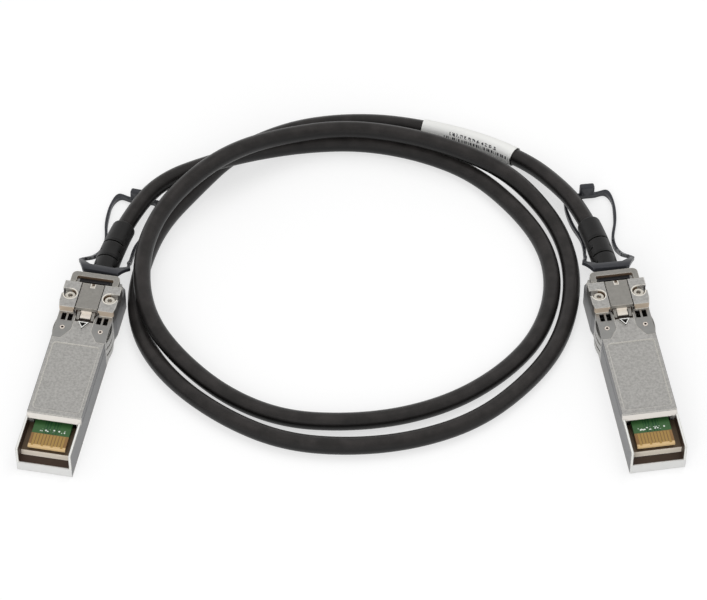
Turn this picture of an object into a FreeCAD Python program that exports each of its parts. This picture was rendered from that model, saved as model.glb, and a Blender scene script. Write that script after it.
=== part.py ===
"""Direct attach copper cable: two small-form-factor plugs joined by a loosely coiled twinaxial cord.

Each plug is a die-cast tray and lid around a paddle card, with a sheet-metal spring collar, a sliding
latch release and a plastic pull tab hooked into it. The plugs lie with their latch side up. Every
piece of a plug is modelled in the plug's own frame (x across, y from the nose to the rear, z up from
the table, origin at the middle of the nose's lower front edge) and then turned and moved to its place.
Millimetres.
"""
import FreeCAD
import Part

import math
import os

from FreeCAD import Placement, Rotation, Vector

# ---- where the two plugs lie -------------------------------------------------------------------
PLUGS = {
    "left": {"nose": (-73.7, -46.0), "yaw": -10.6, "bend": 1, "lean": -3.0},
    "right": {"nose": (73.6, -45.1), "yaw": 8.7, "bend": -1, "lean": -1.4},
}

# ---- plug body: the interface standard's sizes ---------------------------------------------------
BODY_WIDTH = 13.55          # over the plug part that enters the cage
BODY_HEIGHT = 8.5
OPENING_LENGTH = 10.5       # open nose in front of the lid
LEAD_CHAMFER = 1.1          # 45 degree lead-in on the lid
CARD_WIDTH = 9.2            # edge-connector part of the card
CARD_THICKNESS = 1.0
CARD_DROP = 2.25            # from the latch-side face to the card
CARD_SETBACK = 3.0          # from the nose end to the card's edge
BOSS_WIDTH = 2.7
BOSS_LENGTH = 2.1
BOSS_HEIGHT = 0.45
BOSS_RIM = 0.25             # wall round the hollow in the boss
BOSS_HOLLOW = 0.4
BOSS_APEX = 39.6            # from the nose end
PAD_PITCH = 0.8
PADS_PER_SIDE = 10

# ---- castings -----------------------------------------------------------------------------------
NOSE_WALL = 0.55
NOSE_WALL_DROP = 0.6        # from the latch-side face to the nose walls
NOSE_FLOOR = 3.0
SHELF_START = 2.7
SHELF_CLEARANCE = 0.55      # from the shelf to the card above it
TRAY_FLOOR = 1.2
CAVITY_START = 11.5
CAVITY_END = 46.8
PARTING_DROP = 2.0          # from the latch-side face to where tray and lid meet
LID_THICKNESS = 1.2
LID_INSET = 0.05
BLOCK_START = 44.7
BLOCK_END = 53.2
BLOCK_RISE = 1.8            # of the rear block over the latch-side face
BLOCK_WIDTH = 14.3
BLOCK_SHOULDER = 1.8        # length of the step-in at the block's front corners
TAIL_END = 57.0
TAIL_WALL = 0.4             # over the bore for the crimp
TAIL_CORNER = 1.0
LID_SKIRT = 1.1             # thickness of the lid's side walls
EDGE_CHAMFER = 0.3
RECESS_WIDTH = 11.6
RECESS_START = 13.0
RECESS_LENGTH = 21.5
RECESS_DEPTH = 0.25
RECESS_RADIUS = 0.9
AXIS_HEIGHT = BODY_HEIGHT / 2

# ---- card and what it carries --------------------------------------------------------------------
CARD_LENGTH = 35.0
CARD_BODY_WIDTH = 11.6
CARD_BODY_START = 12.2
CARD_LEDGE = 0.9            # width of the tray ledges under the card
CARD_PLAY = 0.4             # how far the ledges start in front of the wide part
CARD_BEVEL = 0.25
CARD_CORNER = 0.6
PAD_WIDTH = 0.55
PAD_LENGTH = 3.7
PAD_SETBACK = 0.35
PAD_STAGGER = 0.35
PAD_THICKNESS = 0.05
CHIP_SIZE = 3.9
CHIP_HEIGHT = 0.9
CHIP_PLACE = 19.0
CHIP_LEADS = 4
CHIP_DRAFT = 0.2
CHIP_LEAD_REACH = 0.7
CHIP_LEAD_WIDTH = 0.3
CHIP_LEAD_THICKNESS = 0.15

# ---- cord and its crimp ------------------------------------------------------------------------------
CABLE_DIAMETER = 4.4
PAIR_CORE = 0.9
PAIR_SPREAD = 2.2           # from the middle plane to a pair, on the card
PAIR_GAP = 0.45             # between the pairs in the crimp
PAIR_STRAIGHT = 1.0
PAIR_BEND = 0.3
PAIR_OVERLAP = 4.0          # how far the pairs lie over the card
FERRULE_RADIUS = 2.6
FERRULE_WALL = 0.45
FERRULE_START = 48.6
FERRULE_LENGTH = 4.2
BORE_CLEARANCE = 0.05
SOCKET_DEPTH = 6.2          # blind bore in the boot that holds the cord

# ---- spring collar -----------------------------------------------------------------------------------
SHEET = 0.2
COLLAR_START = 36.0
COLLAR_END = 44.5
COLLAR_CLEARANCE = 0.02
WING_CORNER = 4.5           # half-width where the wing's front edge turns back
WING_WAIST = 2.55           # half-width between the wings
WING_WAIST_START = 39.2
FINGER_BULGE = 0.6
FINGER_HEIGHT = 1.7
FINGER_PITCH = 2.3
FINGER_GAP = 0.15           # from a finger to its window
FINGER_COUNT = 3
FINGER_BAND = 0.9           # plain band in front of and behind the fingers
SLOT_WIDTH = 1.2
SLOT_LENGTH = 2.4
SLOT_START = 41.8
SLOT_PLACES = (3.65, 5.3)
SLOT_DEPTH = 1.3
SLOT_STEP = 0.1             # the slots are this much narrower in the lid
STAKE_PLACE = (4.8, 39.4)
STAKE_RADIUS = 0.6
STAKE_HEIGHT = 0.12
STAKE_DIMPLE = 0.3

# ---- screws -----------------------------------------------------------------------------------------
SCREW_PLACE = (5.0, 49.0)
SCREW_RADIUS = 0.75
SCREW_HEAD_RADIUS = 1.3
SCREW_HEAD_HEIGHT = 0.8
SCREW_CHAMFER = 0.15
SCREW_SINK = 1.4            # depth of the counterbore
SCREW_END = 2.2
SCREW_TIP_ROOM = 0.2
COUNTERBORE_RADIUS = 1.6
SOCKET_RADIUS = 0.62
SOCKET_CORE = 0.75          # core and lobe radii as shares of the socket's
SOCKET_LOBE = 0.3
SOCKET_SINK = 0.5
SOCKET_LOBES = 6
BREAKOUT_LENGTH = 1.7

# ---- latch release ----------------------------------------------------------------------------------
SLIDE_CLEARANCE = 0.1
PLATE_WIDTH = 5.5
PLATE_FRONT = 44.9
PLATE_REAR = 53.1
PLATE_THICKNESS = 1.2
FLANGE_WIDTH = 0.45         # each side, under the block's lips
FLANGE_HEIGHT = 0.5
FLANGE_PLACE = 0.8          # from the slider's underside to the flange
CHANNEL_SINK = 0.5          # of the slider's way under the latch-side face
POCKET_MARGIN = 0.2         # from the wings to the pocket
POCKET_START = 41.95
TONGUE_WIDTH = 2.6
TONGUE_REACH = 1.7
TONGUE_THICKNESS = 0.45
TINE_WIDTH = 0.65
TINE_PLACE = 1.85
TINE_TIP = 0.8
TINE_REACH = 0.3            # past the tongue's end
TINE_EDGE = 0.1
FRONT_WALL = 0.8
BAIL_WIDTH = 12.1
BAIL_REAR = 56.7
BAIL_BAR = 1.4
BAIL_LEG = 1.4
BAIL_CORNER = 1.3
BAIL_SLOT_CORNER = 0.4
BRIDGE_START = 53.35
BRIDGE_LENGTH = 0.6
BRIDGE_DROP = 1.0
NOTCH_WIDTH = 0.8
NOTCH_DEPTH = 1.2
NOTCH_FLOOR = 0.4
LEAF_THICKNESS = 0.25
LEAF_WIDTH = 1.6
LEAF_START = 46.6
LEAF_END = 51.5
LEAF_ROOT = 1.0
LEAF_ROOM = 0.3             # free space round the leaf

# ---- boot --------------------------------------------------------------------------------------------
BOOT_BASE_RADIUS = 3.25
BOOT_MOUTH_RADIUS = 3.0
BOOT_END = 78.5
BOOT_BEND_START = 60.0
BOOT_BEND = 1.55            # sideways shift of the mouth
BOOT_SPIGOT = 3.2
BOOT_STATIONS = 6
BOOT_ROUND = 0.5
BOOT_ROUND_STEPS = 3
GROOVE_WIDTH = 0.45
GROOVE_DEPTH = 0.8
GROOVE_FIRST = 63.6
GROOVE_PITCH = 2.6
GROOVE_COUNT = 4
GROOVE_TOP_SWEEP = 125.0
GROOVE_SIDE_SWEEP = 95.0

# ---- pull tab ------------------------------------------------------------------------------------------
TAB_THICKNESS = 1.4
TAB_REST = 0.05             # clear of the table
TAB_HOOK_WIDTH = 8.0
TAB_HOOK_THICKNESS = 1.0
TAB_HOOK_RISE = 1.7
TAB_HOOK_LIP = 1.0
TAB_PIVOT = 55.0
TAB_HOOK_CLEARANCE = 0.15   # from the hook to the bail, all round
TAB_HOOK_STEP = 0.2
TAB_HOOK_ROOT = 0.6         # how far the hook runs into the bar
TAB_BAR_DROP = 1.55         # from the block's top to the middle of the bar
TAB_BAR_FRONT = 58.2
TAB_BAR_REAR = 60.4
TAB_RING_HALF = 6.7
TAB_RING_PLACE = 62.2
TAB_SHOULDER = 4.6
TAB_SHOULDER_STEP = 0.2
TAB_CORNER_SHARE = 1.65     # how much faster the inner outline's sharp corners close in
TAB_TIP_SHARE = 1.3
TAB_LEVEL_START = 75.5      # from here to the end the loop lies flat
TAB_LEVEL_MARGIN = 3.0
TAB_STRAND = 0.9
TAB_END = 92.0
GRIP_WIDTH = 4.0
GRIP_DEPTH = 2.0
GRIP_HEIGHT = 4.2
GRIP_ROUND = 0.6
# outer edge of the hourglass loop behind the ring: (half-width, distance from the nose)
TAB_OUTER = [(6.55, 0.9), (5.6, 3.4), (5.05, 6.4), (4.5, 9.8), (4.45, 13.8),
             (5.7, 18.3), (6.5, 23.3), (6.45, 27.3), (5.2, 30.4), (3.0, 30.1)]
TAB_DRAWN = 29.8            # length of the loop for which that outline is drawn
# side view of the arms: place along the plug, and how much of the drop to the table is left
TAB_DESCENT = [(60.4, 0.98125), (62.6, 0.83125), (66.4, 0.48125), (69.6, 0.18125), (72.6, 0.025)]

# ---- the cord's route, chosen by hand, and the label's place on it --------------------------------------
CABLE_POINTS = [
    (-59.8, 25.6, 4.25), (-55.4, 37.4, 4.4), (-48.3, 45.3, 6.8), (-37.0, 50.6, 7.4),
    (-26.0, 57.3, 4.6), (-12.0, 62.6, 2.3), (3.0, 63.3, 2.25), (18.0, 59.6, 2.25),
    (31.5, 52.3, 2.25), (42.5, 39.4, 2.25), (49.3, 26.3, 2.25), (51.0, 12.2, 2.25),
    (47.1, -2.8, 2.25), (39.0, -14.3, 2.25), (27.0, -24.1, 2.25), (13.0, -29.9, 2.25),
    (-2.0, -31.9, 2.25), (-17.0, -30.6, 2.25), (-30.5, -23.6, 2.3), (-41.9, -13.5, 4.0),
    (-49.9, -2.9, 6.5), (-52.8, 10.7, 6.9), (-51.9, 24.2, 7.1), (-46.9, 35.9, 8.8),
    (-37.8, 45.7, 10.9), (-28.5, 53.3, 10.7), (-17.0, 60.7, 7.6), (-2.5, 64.3, 6.7),
    (13.0, 62.1, 6.7), (28.0, 56.1, 6.9), (41.0, 48.7, 5.6), (51.0, 36.7, 2.6),
    (55.2, 23.2, 2.25), (55.4, 9.2, 2.25), (51.5, -6.3, 2.25), (43.5, -18.9, 2.25),
    (31.0, -30.9, 2.25), (15.5, -37.5, 2.25), (-1.0, -39.6, 2.25), (-17.0, -37.7, 2.25),
    (-31.5, -29.9, 2.25), (-44.1, -18.5, 2.25), (-51.9, -5.5, 2.25), (-54.3, 7.7, 2.25),
    (-52.6, 21.2, 2.25), (-48.5, 34.2, 2.25), (-40.5, 46.2, 2.25), (-31.0, 59.2, 2.25),
    (-17.0, 67.9, 2.25), (-2.5, 71.0, 2.25), (13.0, 70.0, 2.5), (32.0, 63.8, 2.75),
    (45.1, 56.0, 2.85), (52.1, 47.2, 4.3), (58.1, 38.3, 4.4), (62.1, 26.5, 4.25),
]
ARC_SHARE = 0.45            # of the shorter run on each side of a point
LABEL_PLACE = (32.0, 63.8)  # the label wraps the runs on both sides of the point nearest to this
LABEL_THICKNESS = 0.15
LABEL_GAP = 0.2             # the label is a loose wrap

# ---- sizes that follow from the ones above ---------------------------------------------------------------
HALF_BODY = BODY_WIDTH / 2
HALF_BLOCK = BLOCK_WIDTH / 2
PARTING = BODY_HEIGHT - PARTING_DROP
BLOCK_TOP = BODY_HEIGHT + BLOCK_RISE
NOSE_WALL_TOP = BODY_HEIGHT - NOSE_WALL_DROP
CHANNEL_FLOOR = BODY_HEIGHT - CHANNEL_SINK
SCREW_SEAT = BLOCK_TOP - SCREW_SINK
TAB_BAR_HEIGHT = BLOCK_TOP - TAB_BAR_DROP
LID_UNDERSIDE = BODY_HEIGHT - LID_THICKNESS
CARD_TOP = BODY_HEIGHT - CARD_DROP
CARD_UNDERSIDE = CARD_TOP - CARD_THICKNESS
SHELF_TOP = CARD_UNDERSIDE - SHELF_CLEARANCE
CARD_END = CARD_SETBACK + CARD_LENGTH
PLATE_UNDERSIDE = BLOCK_TOP - PLATE_THICKNESS
BORE_RADIUS = FERRULE_RADIUS + BORE_CLEARANCE
TAIL_TOP = AXIS_HEIGHT + BORE_RADIUS + TAIL_WALL
SKIN = SHEET + COLLAR_CLEARANCE
BEYOND = 1.0                # how far a cutter runs past what it cuts
LAP = 0.1                   # how far joined features sink into each other


def box(x0, x1, y0, y1, z0, z1):
    return Part.makeBox(x1 - x0, y1 - y0, z1 - z0, Vector(x0, y0, z0))


def strip(half_width, y0, y1, z0, z1):
    """A box centred on the plug's middle plane."""
    return box(-half_width, half_width, y0, y1, z0, z1)


def wire_of(points):
    return Part.makePolygon([Vector(*p) for p in points] + [Vector(*points[0])])


def plan_form(points, z0, z1):
    """A plan outline of (x, y) points, extruded from z0 to z1."""
    face = Part.Face(wire_of([(x, y, z0) for x, y in points]))
    return face.extrude(Vector(0, 0, z1 - z0))


def side_form(points, x0, x1):
    """A side outline of (y, z) points, extruded from x0 to x1."""
    face = Part.Face(wire_of([(x0, y, z) for y, z in points]))
    return face.extrude(Vector(x1 - x0, 0, 0))


def upright(radius, x, y, z0, z1):
    return Part.makeCylinder(radius, z1 - z0, Vector(x, y, z0))


def along(radius, y0, y1, z=AXIS_HEIGHT, x=0.0):
    return Part.makeCylinder(radius, y1 - y0, Vector(x, y0, z), Vector(0, 1, 0))


def mirrored(shape):
    return shape.mirror(Vector(0, 0, 0), Vector(1, 0, 0))


def both_sides(shape):
    return [shape, mirrored(shape)]


def round_upright_edges(shape, radius, near=None):
    """Fillet the vertical edges, all of them or those that near(x, y) accepts."""
    edges = []
    for edge in shape.Edges:
        a, b = edge.Vertexes[0].Point, edge.Vertexes[-1].Point
        if abs(a.x - b.x) < 1e-6 and abs(a.y - b.y) < 1e-6 and abs(a.z - b.z) > 1e-3:
            if near is None or near(a.x, a.y):
                edges.append(edge)
    return shape.makeFillet(radius, edges)


# ---- castings ------------------------------------------------------------------------------------------
def card_ledge():
    inner = HALF_BODY - NOSE_WALL
    return box(inner - CARD_LEDGE, inner, CARD_BODY_START - CARD_PLAY, CARD_END, TRAY_FLOOR / 2, CARD_UNDERSIDE)


def top_shell():
    """The tray that lies on the table: open nose with its shelf, side walls, screw bosses and tail."""
    c = EDGE_CHAMFER
    plug = side_form([(0, c), (c, 0), (BLOCK_START, 0), (BLOCK_START, PARTING), (OPENING_LENGTH, PARTING),
                      (OPENING_LENGTH, NOSE_WALL_TOP), (0, NOSE_WALL_TOP)], -HALF_BODY, HALF_BODY)
    rear = plan_form([(HALF_BODY, BLOCK_START), (HALF_BLOCK, BLOCK_START + BLOCK_SHOULDER),
                      (HALF_BLOCK, TAIL_END - TAIL_CORNER), (HALF_BLOCK - TAIL_CORNER, TAIL_END),
                      (TAIL_CORNER - HALF_BLOCK, TAIL_END), (-HALF_BLOCK, TAIL_END - TAIL_CORNER),
                      (-HALF_BLOCK, BLOCK_START + BLOCK_SHOULDER), (-HALF_BODY, BLOCK_START)], 0, PARTING)
    tail = strip(HALF_BLOCK - TAIL_CORNER, BLOCK_END + LID_INSET, TAIL_END, PARTING, TAIL_TOP)
    cavity = side_form([(-BEYOND, NOSE_FLOOR), (SHELF_START, NOSE_FLOOR), (SHELF_START, SHELF_TOP),
                        (CAVITY_START, SHELF_TOP), (CAVITY_START, TRAY_FLOOR), (CAVITY_END, TRAY_FLOOR),
                        (CAVITY_END, BLOCK_TOP), (-BEYOND, BLOCK_TOP)],
                       NOSE_WALL - HALF_BODY, HALF_BODY - NOSE_WALL)
    ledges = both_sides(card_ledge())
    shell = plug.fuse([rear, tail]).cut(cavity).fuse(ledges)
    cord_way = along(BORE_RADIUS, CAVITY_END - BEYOND, TAIL_END + BEYOND)
    screw_holes = both_sides(upright(SCREW_RADIUS, SCREW_PLACE[0], SCREW_PLACE[1], SCREW_END, BLOCK_TOP))
    wall_skin = [collar_skin_cutter()]
    return shell.cut([cord_way] + screw_holes + wall_skin).removeSplitter()


def collar_skin_cutter():
    """What the castings lose so that the collar's sides and table side lie flush with the body."""
    outer = strip(HALF_BODY + BEYOND, COLLAR_START - COLLAR_CLEARANCE, COLLAR_END + COLLAR_CLEARANCE,
                  -BEYOND, BODY_HEIGHT + BEYOND)
    inner = strip(HALF_BODY - SKIN, COLLAR_START - BEYOND, COLLAR_END + BEYOND, SKIN, BODY_HEIGHT + 2 * BEYOND)
    return outer.cut(inner)


def wing_outline(clearance=0.0):
    """One wing of the collar seen from the latch side; the clearance widens it all round."""
    return [(HALF_BODY + clearance, COLLAR_START - clearance),
            (WING_CORNER - clearance, COLLAR_START - clearance),
            (WING_WAIST - clearance, WING_WAIST_START - clearance),
            (WING_WAIST - clearance, COLLAR_END + clearance),
            (HALF_BODY + clearance, COLLAR_END + clearance)]


def boss_outline(inset=0.0):
    """The V of the latch boss, apex to the front; the inset moves all three of its sides inward."""
    half = BOSS_WIDTH / 2
    apex = BOSS_APEX + inset * math.hypot(half, BOSS_LENGTH) / half
    base = BOSS_APEX + BOSS_LENGTH - inset
    half_base = (base - apex) * half / BOSS_LENGTH
    return [(0, apex), (half_base, base), (-half_base, base)]


def finger_slot(x, z0, z1, spread=0.0):
    half = SLOT_WIDTH / 2 + spread
    return box(x - half, x + half, SLOT_START - spread, SLOT_START + SLOT_LENGTH + spread, z0, z1)


def channel():
    """The T-shaped way that holds the release slider, with the latch pocket in front of it."""
    under_lip = CHANNEL_FLOOR + FLANGE_PLACE + FLANGE_HEIGHT + 2 * SLIDE_CLEARANCE
    wide = PLATE_WIDTH / 2 + FLANGE_WIDTH + SLIDE_CLEARANCE
    upper = strip(PLATE_WIDTH / 2 + SLIDE_CLEARANCE, BLOCK_START - BEYOND, BLOCK_END + BEYOND,
                  CHANNEL_FLOOR, BLOCK_TOP + BEYOND)
    lower = strip(wide, BLOCK_START - LID_INSET, BLOCK_END + BEYOND, CHANNEL_FLOOR, under_lip)
    pocket = strip(WING_WAIST - POCKET_MARGIN, POCKET_START, BLOCK_START, CHANNEL_FLOOR, BODY_HEIGHT + BEYOND)
    return [upper, lower, pocket]


def lid_block():
    """The raised rear of the lid: it carries the screws and guides the slider."""
    outline = [(HALF_BODY, BLOCK_START), (HALF_BLOCK, BLOCK_START + BLOCK_SHOULDER),
               (HALF_BLOCK, BLOCK_END), (-HALF_BLOCK, BLOCK_END),
               (-HALF_BLOCK, BLOCK_START + BLOCK_SHOULDER), (-HALF_BODY, BLOCK_START)]
    block = plan_form(outline, PARTING, BLOCK_TOP)
    x, y = SCREW_PLACE
    cuts = [along(BORE_RADIUS, BLOCK_START - BEYOND, BLOCK_END + BEYOND)]
    for side in (-1, 1):
        cuts.append(upright(COUNTERBORE_RADIUS, side * x, y, SCREW_SEAT, BLOCK_TOP + BEYOND))
        cuts.append(upright(SCREW_RADIUS + SLIDE_CLEARANCE, side * x, y, 0, BLOCK_TOP))
        reach = sorted((side * x, side * (HALF_BLOCK + BEYOND)))
        cuts.append(box(reach[0], reach[1], y, y + BREAKOUT_LENGTH, SCREW_SEAT, BLOCK_TOP + BEYOND))
    return block.cut(cuts)


def bottom_shell():
    """The lid on the latch side: chamfered front, label recess, latch boss and the rear block."""
    half = HALF_BODY - LID_INSET
    front = OPENING_LENGTH
    plate = side_form([(front, LID_UNDERSIDE), (BLOCK_START, LID_UNDERSIDE), (BLOCK_START, BODY_HEIGHT),
                       (front + LEAD_CHAMFER, BODY_HEIGHT), (front, BODY_HEIGHT - LEAD_CHAMFER)], -half, half)
    skirt = box(half - LID_SKIRT, half, front + LID_INSET, BLOCK_START, PARTING, LID_UNDERSIDE)
    lid = plate.fuse(both_sides(skirt) + [lid_block()])
    recess = strip(RECESS_WIDTH / 2, RECESS_START, RECESS_START + RECESS_LENGTH,
                   BODY_HEIGHT - RECESS_DEPTH, BODY_HEIGHT + BEYOND)
    cuts = [round_upright_edges(recess, RECESS_RADIUS), collar_skin_cutter()]
    cuts += both_sides(plan_form(wing_outline(COLLAR_CLEARANCE), BODY_HEIGHT - SKIN, BODY_HEIGHT + BEYOND))
    for x in SLOT_PLACES:
        cuts += both_sides(finger_slot(x, BODY_HEIGHT - SLOT_DEPTH, BODY_HEIGHT, -SLOT_STEP))
    lid = lid.cut(cuts + channel())
    boss = plan_form(boss_outline(), LID_UNDERSIDE + LAP, BODY_HEIGHT + BOSS_HEIGHT)
    hollow = plan_form(boss_outline(BOSS_RIM), BODY_HEIGHT - BOSS_HOLLOW, BODY_HEIGHT + BEYOND)
    x, y = STAKE_PLACE
    stakes = both_sides(upright(STAKE_RADIUS, x, y, LID_UNDERSIDE + LAP, BODY_HEIGHT + STAKE_HEIGHT))
    dimples = both_sides(upright(STAKE_DIMPLE, x, y, BODY_HEIGHT - STAKE_DIMPLE, BODY_HEIGHT + BEYOND))
    return lid.fuse([boss] + stakes).cut([hollow] + dimples).removeSplitter()


# ---- card, wires and crimp ---------------------------------------------------------------------------------
def paddle_card():
    """The printed card: a narrow bevelled edge connector and a wider body that sits on the ledges."""
    tongue = side_form([(CARD_SETBACK, CARD_UNDERSIDE + CARD_BEVEL), (CARD_SETBACK, CARD_TOP - CARD_BEVEL),
                        (CARD_SETBACK + CARD_BEVEL, CARD_TOP), (CARD_END, CARD_TOP),
                        (CARD_END, CARD_UNDERSIDE), (CARD_SETBACK + CARD_BEVEL, CARD_UNDERSIDE)],
                       -CARD_WIDTH / 2, CARD_WIDTH / 2)
    body = strip(CARD_BODY_WIDTH / 2, CARD_BODY_START, CARD_END, CARD_UNDERSIDE, CARD_TOP)
    body = round_upright_edges(body, CARD_CORNER)
    return tongue.fuse(body).removeSplitter()


def contact_pads():
    """Gold fingers on both faces of the card; every third one starts nearer the edge."""
    pads = []
    first = -PAD_PITCH * (PADS_PER_SIDE - 1) / 2
    start = CARD_SETBACK + PAD_SETBACK
    for index in range(PADS_PER_SIDE):
        x = first + index * PAD_PITCH
        y0 = start + (0 if index % 3 == 0 else PAD_STAGGER)
        for z0 in (CARD_TOP, CARD_UNDERSIDE - PAD_THICKNESS):
            pads.append(box(x - PAD_WIDTH / 2, x + PAD_WIDTH / 2, y0, start + PAD_LENGTH, z0, z0 + PAD_THICKNESS))
    return Part.makeCompound(pads)


def memory_chip():
    """The identity memory: a moulded body with a row of gull-wing leads on each side."""
    half = CHIP_SIZE / 2
    lift = CHIP_HEIGHT / 6
    draft = CHIP_DRAFT
    waist, top = CARD_TOP + CHIP_HEIGHT / 2, CARD_TOP + CHIP_HEIGHT
    y0, y1 = CHIP_PLACE, CHIP_PLACE + CHIP_SIZE
    body = side_form([(y0, CARD_TOP + lift), (y0, waist), (y0 + draft, top),
                      (y1 - draft, top), (y1, waist), (y1, CARD_TOP + lift)], -half, half)
    leads = []
    pitch = CHIP_SIZE / CHIP_LEADS
    for index in range(CHIP_LEADS):
        y = CHIP_PLACE + pitch * (index + 0.5)
        leads.append(strip(half + CHIP_LEAD_REACH, y - CHIP_LEAD_WIDTH / 2, y + CHIP_LEAD_WIDTH / 2,
                           CARD_TOP, CARD_TOP + lift + CHIP_LEAD_THICKNESS))
    return body.fuse(leads).removeSplitter()


def wire_pairs():
    """Two shielded pairs, flat side by side, from the card into the crimp."""
    radius = PAIR_CORE / 2
    y0 = CARD_END - PAIR_OVERLAP
    y1 = FERRULE_START + FERRULE_LENGTH / 2
    z_card = CARD_TOP + radius + BORE_CLEARANCE
    z_crimp = AXIS_HEIGHT
    pairs = []
    for side in (-1, 1):
        x_card = side * PAIR_SPREAD
        x_crimp = side * (radius + PAIR_GAP / 2)
        path = [Vector(x_card, y0, z_card), Vector(x_card, CARD_END + PAIR_STRAIGHT, z_card),
                Vector(x_crimp, FERRULE_START - PAIR_STRAIGHT, z_crimp), Vector(x_crimp, y1, z_crimp)]
        pairs.append(tube(path, radius, PAIR_BEND))
    return Part.makeCompound(pairs)


def crimp_ferrule():
    """The metal sleeve that grips the cord's braid inside the tail."""
    sleeve = along(FERRULE_RADIUS, FERRULE_START, FERRULE_START + FERRULE_LENGTH)
    bore = along(FERRULE_RADIUS - FERRULE_WALL, FERRULE_START - BEYOND, FERRULE_START + FERRULE_LENGTH + BEYOND)
    return sleeve.cut(bore)


# ---- spring collar and screws ---------------------------------------------------------------------------------
def finger(z0):
    """One bowed spring finger on the collar's side, from a plan of two concentric arcs."""
    x = HALF_BODY - SHEET
    y0, y1 = COLLAR_START + FINGER_BAND - LAP, COLLAR_END - FINGER_BAND + LAP
    middle = (y0 + y1) / 2
    outer = Part.Arc(Vector(x + SHEET, y0, z0), Vector(x + SHEET + FINGER_BULGE, middle, z0), Vector(x + SHEET, y1, z0))
    inner = Part.Arc(Vector(x, y1, z0), Vector(x + FINGER_BULGE, middle, z0), Vector(x, y0, z0))
    ends = [Part.LineSegment(Vector(x + SHEET, y1, z0), Vector(x, y1, z0)),
            Part.LineSegment(Vector(x, y0, z0), Vector(x + SHEET, y0, z0))]
    face = Part.Face(Part.Wire([outer.toShape(), ends[0].toShape(), inner.toShape(), ends[1].toShape()]))
    return face.extrude(Vector(0, 0, FINGER_HEIGHT))


def spring_collar():
    """The folded spring sheet round the body: two wings, two sides with bowed fingers, a table side."""
    outer = strip(HALF_BODY, COLLAR_START, COLLAR_END, 0, BODY_HEIGHT)
    hollow = strip(HALF_BODY - SHEET, COLLAR_START - BEYOND, COLLAR_END + BEYOND, SHEET, BODY_HEIGHT + BEYOND)
    sheet = outer.cut(hollow)
    wings = both_sides(plan_form(wing_outline(), BODY_HEIGHT - SHEET, BODY_HEIGHT))
    sheet = sheet.fuse(wings)
    first = AXIS_HEIGHT - FINGER_PITCH * (FINGER_COUNT - 1) / 2 - FINGER_HEIGHT / 2
    windows, fingers = [], []
    for index in range(FINGER_COUNT):
        z0 = first + index * FINGER_PITCH
        window = box(HALF_BODY - 2 * SHEET, HALF_BODY + BEYOND, COLLAR_START + FINGER_BAND,
                     COLLAR_END - FINGER_BAND, z0 - FINGER_GAP, z0 + FINGER_HEIGHT + FINGER_GAP)
        windows += both_sides(window)
        fingers += both_sides(finger(z0))
    cuts = windows
    for x in SLOT_PLACES:
        cuts += both_sides(finger_slot(x, BODY_HEIGHT - 2 * SHEET, BODY_HEIGHT + BEYOND))
        cuts += both_sides(finger_slot(x, -BEYOND, 2 * SHEET))
    x, y = STAKE_PLACE
    cuts += both_sides(upright(STAKE_RADIUS + COLLAR_CLEARANCE, x, y, BODY_HEIGHT - 2 * SHEET, BODY_HEIGHT + BEYOND))
    return sheet.cut(cuts).fuse(fingers).removeSplitter()


def housing_screw(x):
    """A low-head screw with a six-lobed socket."""
    y = SCREW_PLACE[1]
    top = SCREW_SEAT + SCREW_HEAD_HEIGHT
    head = upright(SCREW_HEAD_RADIUS, x, y, SCREW_SEAT, top)
    head = head.makeChamfer(SCREW_CHAMFER, [e for e in head.Edges if abs(e.CenterOfMass.z - top) < 1e-6])
    shank = upright(SCREW_RADIUS - BORE_CLEARANCE, x, y, SCREW_END + SCREW_TIP_ROOM, SCREW_SEAT + LAP)
    reach = SOCKET_RADIUS * SOCKET_CORE
    socket = [upright(reach, x, y, top - SOCKET_SINK, top + BEYOND)]
    for lobe in range(SOCKET_LOBES):
        angle = 2 * math.pi * lobe / SOCKET_LOBES
        socket.append(upright(SOCKET_RADIUS * SOCKET_LOBE, x + reach * math.cos(angle),
                              y + reach * math.sin(angle), top - SOCKET_SINK, top + BEYOND))
    return head.fuse(shank).cut(socket).removeSplitter()


def housing_screws():
    return Part.makeCompound([housing_screw(SCREW_PLACE[0]), housing_screw(-SCREW_PLACE[0])])


# ---- latch release -----------------------------------------------------------------------------------------------
def tine(side):
    """One ramped prong that lifts the cage's latch."""
    x0 = side * TINE_PLACE - TINE_WIDTH / 2
    low = CHANNEL_FLOOR + SLIDE_CLEARANCE
    tip = PLATE_FRONT - TONGUE_REACH - TINE_REACH
    ramp = [(PLATE_FRONT + LAP, low), (tip, low), (tip, low + TINE_EDGE),
            (PLATE_FRONT - TINE_REACH, low + TINE_TIP), (PLATE_FRONT + LAP, low + TINE_TIP)]
    return side_form(ramp, x0, x0 + TINE_WIDTH)


def bail():
    """The frame at the slider's rear that the pull tab hooks into."""
    half = BAIL_WIDTH / 2
    front = BRIDGE_START
    ring = strip(half, front, BAIL_REAR, PLATE_UNDERSIDE, BLOCK_TOP)
    ring = round_upright_edges(ring, BAIL_CORNER, lambda x, y: y > BAIL_REAR - LAP)
    slot = strip(half - BAIL_LEG, front + BRIDGE_LENGTH, BAIL_REAR - BAIL_BAR, 0, BLOCK_TOP + BEYOND)
    slot = round_upright_edges(slot, BAIL_SLOT_CORNER)
    bridge_hollow = strip(half - BAIL_LEG, front - BEYOND, front + BRIDGE_LENGTH + LAP,
                          PLATE_UNDERSIDE + LAP, BLOCK_TOP + BEYOND)
    bridge = strip(half, front, front + BRIDGE_LENGTH, PLATE_UNDERSIDE - BRIDGE_DROP, PLATE_UNDERSIDE + 2 * LAP)
    return ring.cut([slot, bridge_hollow]).fuse(bridge)


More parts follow.
